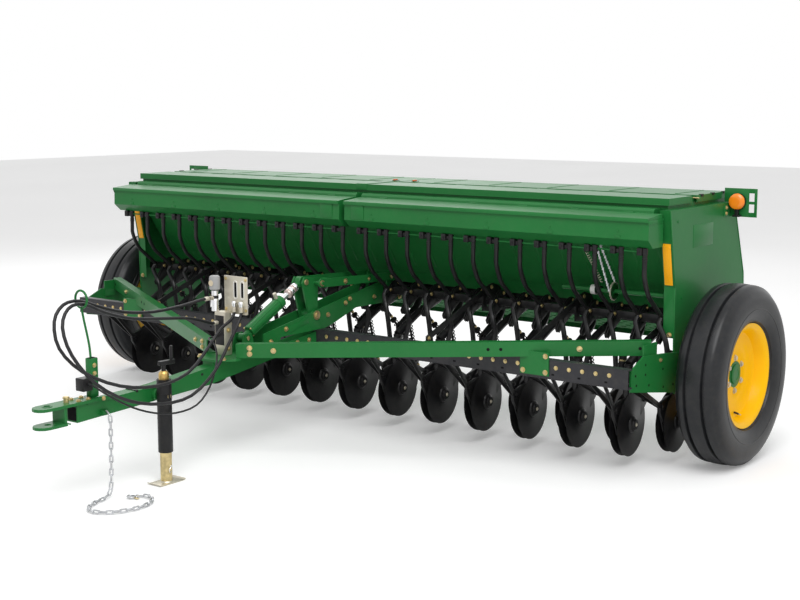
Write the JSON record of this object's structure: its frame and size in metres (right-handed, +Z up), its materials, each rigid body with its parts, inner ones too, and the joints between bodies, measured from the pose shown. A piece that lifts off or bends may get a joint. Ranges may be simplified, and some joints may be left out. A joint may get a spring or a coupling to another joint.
{
  "type": "seed drill",
  "caption": "Towed end-wheel seed drill with a full-width grain box, two rows of disc openers, hydraulic lift and A-frame tongue on a parked jack.",
  "frame": {"origin": "on the ground under the middle of the machine's box", "axes": "+X to the machine's left across its full width, -Y towards the tongue and hitch, +Z up"},
  "size_m": [4.696, 3.52, 1.44],
  "materials": {
    "green_paint": "gloss paint",
    "black_paint": "satin paint",
    "rim_yellow": "gloss paint",
    "tyre_rubber": "ribbed tread",
    "hose_rubber": "smooth",
    "zinc_plate": "zinc plated",
    "chrome": "polished",
    "chain_steel": "bright zinc",
    "amber_lens": "clear lens on a painted bracket"
  },
  "bodies": {
    "frame": {"hopper_front": "green_paint", "hopper_rear": "green_paint", "hopper_floor": "green_paint", "hopper_end_left": "green_paint", "hopper_end_right": "green_paint", "grain_deck": "green_paint", "front_box_left": "green_paint", "front_box_right": "green_paint", "end_panel_left": "green_paint", "end_panel_right": "green_paint", "end_plate_left": "green_paint", "end_plate_right": "green_paint", "arm_left": "green_paint", "arm_right": "green_paint", "walkboard": "green_paint", "tongue_beam": "green_paint", "hitch_clevis": "green_paint", "upper_beam": "green_paint", "hose_holder": "green_paint", "drive_shaft": "green_paint", "axle_spindle_left": "black_paint", "axle_spindle_right": "black_paint", "feed_cups": "black_paint", "front_rail": "black_paint", "main_tube": "black_paint", "brace_1": "black_paint", "brace_2": "black_paint", "brace_3": "black_paint", "brace_4": "black_paint", "seed_tubes_left": "hose_rubber", "seed_tubes_right": "hose_rubber", "hose_1": "hose_rubber", "hose_2": "hose_rubber", "light_cable": "hose_rubber", "mast": "zinc_plate", "remote_valve": "zinc_plate", "safety_chain": "chain_steel", "lamp_left": "amber_lens", "lamp_right": "amber_lens"},
    "wheel_left": {"rim_left": "rim_yellow", "tyre_left": "tyre_rubber"},
    "wheel_right": {"rim_right": "rim_yellow", "tyre_right": "tyre_rubber"},
    "grain_lid_left": {"grain_lid_left": "green_paint"},
    "grain_lid_right": {"grain_lid_right": "green_paint"},
    "front_lid_left": {"front_lid_left": "green_paint"},
    "front_lid_right": {"front_lid_right": "green_paint"},
    "rockshaft": {"rockshaft": "black_paint"},
    "openers": {"openers_left": "black_paint", "openers_right": "black_paint"},
    "bellcrank": {"bellcrank": "green_paint"},
    "lift_links": {"lift_links": "green_paint"},
    "lift_barrel": {"lift_barrel": "green_paint"},
    "lift_rod": {"lift_rod": "chrome"},
    "jack_tube": {"jack_tube": "black_paint"},
    "jack_leg": {"jack_leg": "zinc_plate"}
  },
  "joints": [
    {"name": "wheel_left_spin", "type": "hinge", "parent": "frame", "child": "wheel_left", "pos_m": [2.223, 1.04, 0.482], "axis": [1, 0, 0], "continuous": true},
    {"name": "wheel_right_spin", "type": "hinge", "parent": "frame", "child": "wheel_right", "pos_m": [-2.223, 1.04, 0.482], "axis": [1, 0, 0], "continuous": true},
    {"name": "grain_lid_left_open", "type": "hinge", "parent": "frame", "child": "grain_lid_left", "pos_m": [0.997, 1.012, 1.4], "axis": [1, 0, 0], "range_deg": [0, 105]},
    {"name": "grain_lid_right_open", "type": "hinge", "parent": "frame", "child": "grain_lid_right", "pos_m": [-0.997, 1.012, 1.4], "axis": [1, 0, 0], "range_deg": [0, 105]},
    {"name": "front_lid_left_open", "type": "hinge", "parent": "frame", "child": "front_lid_left", "pos_m": [1.007, 0.638, 1.352], "axis": [-1, 0, 0], "range_deg": [0, 80]},
    {"name": "front_lid_right_open", "type": "hinge", "parent": "frame", "child": "front_lid_right", "pos_m": [-1.007, 0.638, 1.352], "axis": [-1, 0, 0], "range_deg": [0, 80]},
    {"name": "opener_lift", "type": "hinge", "parent": "frame", "child": "rockshaft", "pos_m": [0, 0.835, 0.775], "axis": [1, 0, 0], "range_deg": [0, 30]},
    {"name": "openers_swing", "type": "hinge", "parent": "frame", "child": "openers", "pos_m": [0, 0.234, 0.565], "axis": [-1, 0, 0], "range_deg": [0, 10.2]},
    {"name": "bellcrank_turn", "type": "hinge", "parent": "frame", "child": "bellcrank", "pos_m": [0, 0.18, 0.7], "axis": [1, 0, 0], "range_deg": [0, 12.99]},
    {"name": "lift_links_turn", "type": "hinge", "parent": "bellcrank", "child": "lift_links", "pos_m": [0, 0.19, 0.885], "axis": [1, 0, 0], "range_deg": [-13.79, 0]},
    {"name": "lift_barrel_turn", "type": "hinge", "parent": "frame", "child": "lift_barrel", "pos_m": [0, -0.36, 0.64], "axis": [1, 0, 0], "range_deg": [0, 0.32]},
    {"name": "lift_rod_slide", "type": "slide", "parent": "lift_barrel", "child": "lift_rod", "axis": [0, 0.8811, 0.473], "range_m": [-0.04641, 0]},
    {"name": "jack_swing", "type": "hinge", "parent": "frame", "child": "jack_tube", "pos_m": [0.1, -1.037, 0.45], "axis": [1, 0, 0], "range_deg": [0, 90]},
    {"name": "jack_leg_slide", "type": "slide", "parent": "jack_tube", "child": "jack_leg", "axis": [0, 0, 1], "range_m": [0, 0.14]}
  ],
  "couplings": [
    {"joint": "openers_swing", "follows": "opener_lift", "ratio": 0.33333},
    {"joint": "bellcrank_turn", "follows": "opener_lift", "ratio": 0.4245},
    {"joint": "lift_links_turn", "follows": "opener_lift", "ratio": -0.45049},
    {"joint": "lift_barrel_turn", "follows": "opener_lift", "ratio": 0.01054},
    {"joint": "lift_rod_slide", "follows": "opener_lift", "m_per_rad": -0.08691}
  ]
}
